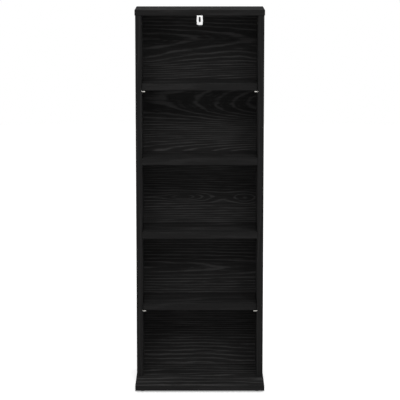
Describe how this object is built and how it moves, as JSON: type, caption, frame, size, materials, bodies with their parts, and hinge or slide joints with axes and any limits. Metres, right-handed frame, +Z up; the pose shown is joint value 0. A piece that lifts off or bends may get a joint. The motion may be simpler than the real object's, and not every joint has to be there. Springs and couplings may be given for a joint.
{
  "type": "media shelf",
  "caption": "Tall narrow open media shelf in black oak-look board, on a base panel that projects forwards, with fixed and adjustable shelves and a wall bracket.",
  "frame": {"origin": "on the floor, under the middle of the base panel", "axes": "+X to the right seen from the front, +Y towards the back panel, +Z up; the open front faces -Y"},
  "size_m": [0.35, 0.27, 1.0289],
  "materials": {
    "black_oak": "black oak-look foil on particle board, satin, fine grain",
    "black_back": "black oak-look printed hardboard, satin",
    "nickel": "bright nickel plating",
    "zinc": "zinc plating, satin",
    "white_lacquer": "white powder coat, satin",
    "beech": "raw beech",
    "black_plastic": "black moulded plastic"
  },
  "bodies": {
    "carcass": {"base_panel": "black_oak", "top_panel": "black_oak", "left_side_panel": "black_oak", "right_side_panel": "black_oak", "back_panel": "black_back", "lower_fixed_shelf": "black_oak", "upper_fixed_shelf": "black_oak", "lower_adjustable_shelf_front_left_pin": "nickel", "lower_adjustable_shelf_front_right_pin": "nickel", "lower_adjustable_shelf_rear_left_pin": "nickel", "lower_adjustable_shelf_rear_right_pin": "nickel", "upper_adjustable_shelf_front_left_pin": "nickel", "upper_adjustable_shelf_front_right_pin": "nickel", "upper_adjustable_shelf_rear_left_pin": "nickel", "upper_adjustable_shelf_rear_right_pin": "nickel", "top_left_cam_lock": "zinc", "top_left_cam_bolt": "zinc", "top_left_dowel": "beech", "top_right_cam_lock": "zinc", "top_right_cam_bolt": "zinc", "top_right_dowel": "beech", "lower_fixed_shelf_left_cam_lock": "zinc", "lower_fixed_shelf_left_cam_bolt": "zinc", "lower_fixed_shelf_left_dowel": "beech", "lower_fixed_shelf_right_cam_lock": "zinc", "lower_fixed_shelf_right_cam_bolt": "zinc", "lower_fixed_shelf_right_dowel": "beech", "upper_fixed_shelf_left_cam_lock": "zinc", "upper_fixed_shelf_left_cam_bolt": "zinc", "upper_fixed_shelf_left_dowel": "beech", "upper_fixed_shelf_right_cam_lock": "zinc", "upper_fixed_shelf_right_cam_bolt": "zinc", "upper_fixed_shelf_right_dowel": "beech", "base_screw_front_left": "zinc", "base_screw_front_right": "zinc", "base_screw_rear_left": "zinc", "base_screw_rear_right": "zinc", "front_left_glide": "black_plastic", "front_right_glide": "black_plastic", "rear_left_glide": "black_plastic", "rear_right_glide": "black_plastic", "front_left_glide_nail": "zinc", "front_right_glide_nail": "zinc", "rear_left_glide_nail": "zinc", "rear_right_glide_nail": "zinc", "wall_bracket": "white_lacquer", "bracket_screw_front": "zinc", "bracket_screw_rear": "zinc"},
    "lower_loose_shelf": {"lower_adjustable_shelf": "black_oak"},
    "upper_loose_shelf": {"upper_adjustable_shelf": "black_oak"}
  },
  "joints": [
    {"name": "lower_shelf_slide", "type": "slide", "parent": "carcass", "child": "lower_loose_shelf", "axis": [0, -1, 0], "range_m": [0, 0.155]},
    {"name": "upper_shelf_slide", "type": "slide", "parent": "carcass", "child": "upper_loose_shelf", "axis": [0, -1, 0], "range_m": [0, 0.155]}
  ]
}
